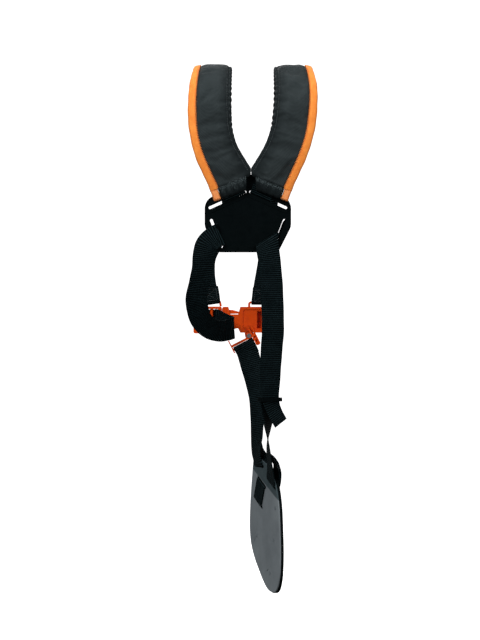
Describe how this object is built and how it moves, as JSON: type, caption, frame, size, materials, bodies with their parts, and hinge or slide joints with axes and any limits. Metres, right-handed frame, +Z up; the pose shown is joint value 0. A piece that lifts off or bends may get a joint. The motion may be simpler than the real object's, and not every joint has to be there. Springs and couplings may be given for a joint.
{
  "type": "double shoulder tool harness",
  "caption": "Double shoulder harness with padded straps, a moulded back plate, a three-way chest buckle, ribbed webbing and a hip plate with a snap hook.",
  "frame": {"origin": "midway between the two shoulders, level with the underside of the pads at their highest point", "axes": "+X to the wearer's right, +Y to the wearer's front, +Z up"},
  "size_m": [0.2372, 0.2259, 0.956],
  "materials": {
    "webbing": "ribbed polypropylene webbing, close to black with a blue-green cast",
    "mesh_fabric": "charcoal spacer mesh with a fine knit",
    "pad_foam": "closed-cell foam",
    "edging_fabric": "bright orange woven fabric, overlocked along its seam",
    "wrap_fabric": "smooth black nylon, turned over the pad's end",
    "plate_plastic": "moulded black plastic with a fine grain",
    "buckle_plastic": "moulded orange acetal, satin",
    "steel": "plated steel, bright",
    "hook_steel": "cast and tumbled, satin",
    "spring_steel": "spring steel strip",
    "shell_plastic": "black moulded plastic, matt",
    "liner_foam": "smooth grey closed-cell foam sheet",
    "rivet_plastic": "black plastic rivets"
  },
  "bodies": {
    "harness": {"back_plate": "plate_plastic", "left_front_strap": "webbing", "right_front_strap": "webbing", "side_strap": "webbing", "rear_hip_strap": "webbing", "rear_strap_slider": "plate_plastic", "front_hip_strap": "webbing", "buckle_housing": "buckle_plastic", "link_pin": "steel", "left_pad_cover": "mesh_fabric", "left_pad_foam": "pad_foam", "left_pad_edging": "edging_fabric", "left_pad_end_wrap": "wrap_fabric", "left_pad_anchor": "webbing", "right_pad_cover": "mesh_fabric", "right_pad_foam": "pad_foam", "right_pad_edging": "edging_fabric", "right_pad_end_wrap": "wrap_fabric", "right_pad_anchor": "webbing"},
    "insert": {"buckle_insert": "buckle_plastic"},
    "upper_prong": {"upper_prong": "buckle_plastic"},
    "lower_prong": {"lower_prong": "buckle_plastic"},
    "link": {"lower_link": "buckle_plastic"},
    "hip": {"hip_plate_shell": "shell_plastic", "hip_plate_liner": "liner_foam", "hip_plate_rivets": "rivet_plastic", "hook_sling": "webbing", "rear_hip_loop": "webbing"},
    "ring": {"d_ring": "steel"},
    "eye": {"swivel_eye": "steel"},
    "hook": {"snap_hook": "hook_steel", "gate_pin": "steel", "gate_spring": "spring_steel"},
    "gate": {"hook_gate": "hook_steel"}
  },
  "joints": [
    {"name": "insert_pull", "type": "slide", "parent": "harness", "child": "insert", "axis": [-1, 0, 0], "range_m": [0, 0.05], "deforming": ["side_strap", "left_front_strap", "upper_prong", "lower_prong"]},
    {"name": "upper_prong_squeeze", "type": "hinge", "parent": "insert", "child": "upper_prong", "pos_m": [-0.0602, 0.085, -0.4355], "axis": [0, 1, 0], "range_deg": [0, 11], "stiffness_Nm_per_rad": 0.6},
    {"name": "lower_prong_squeeze", "type": "hinge", "parent": "insert", "child": "lower_prong", "pos_m": [-0.0602, 0.085, -0.4615], "axis": [0, -1, 0], "range_deg": [0, 11], "stiffness_Nm_per_rad": 0.6},
    {"name": "link_swing", "type": "hinge", "parent": "harness", "child": "link", "pos_m": [-0.007, 0.0715, -0.478], "axis": [0, 1, 0], "range_deg": [-20, 20], "deforming": ["front_hip_strap"]},
    {"name": "hip_swing", "type": "hinge", "parent": "harness", "child": "hip", "pos_m": [0.0235, 0, -0.669], "axis": [0.3584, -0.9336, 0], "range_deg": [-10, 22], "deforming": ["front_hip_strap", "rear_hip_loop"]},
    {"name": "ring_swing", "type": "hinge", "parent": "hip", "child": "ring", "pos_m": [0.02018, 0.04492, -0.80916], "axis": [0.3271, -0.852, -0.4088], "range_deg": [0, 55]},
    {"name": "eye_swing", "type": "hinge", "parent": "ring", "child": "eye", "pos_m": [0.03013, 0.04645, -0.8304], "axis": [0.152, -0.9884, 0], "range_deg": [0, 40]},
    {"name": "hook_swivel", "type": "hinge", "parent": "eye", "child": "hook", "pos_m": [0.03013, 0.04645, -0.8304], "axis": [0, 0, 1], "continuous": true},
    {"name": "gate_open", "type": "hinge", "parent": "hook", "child": "gate", "pos_m": [0.03135, 0.03855, -0.8554], "axis": [0.9884, 0.152, 0], "range_deg": [0, 22], "stiffness_Nm_per_rad": 0.05, "deforming": ["gate_spring"]}
  ]
}
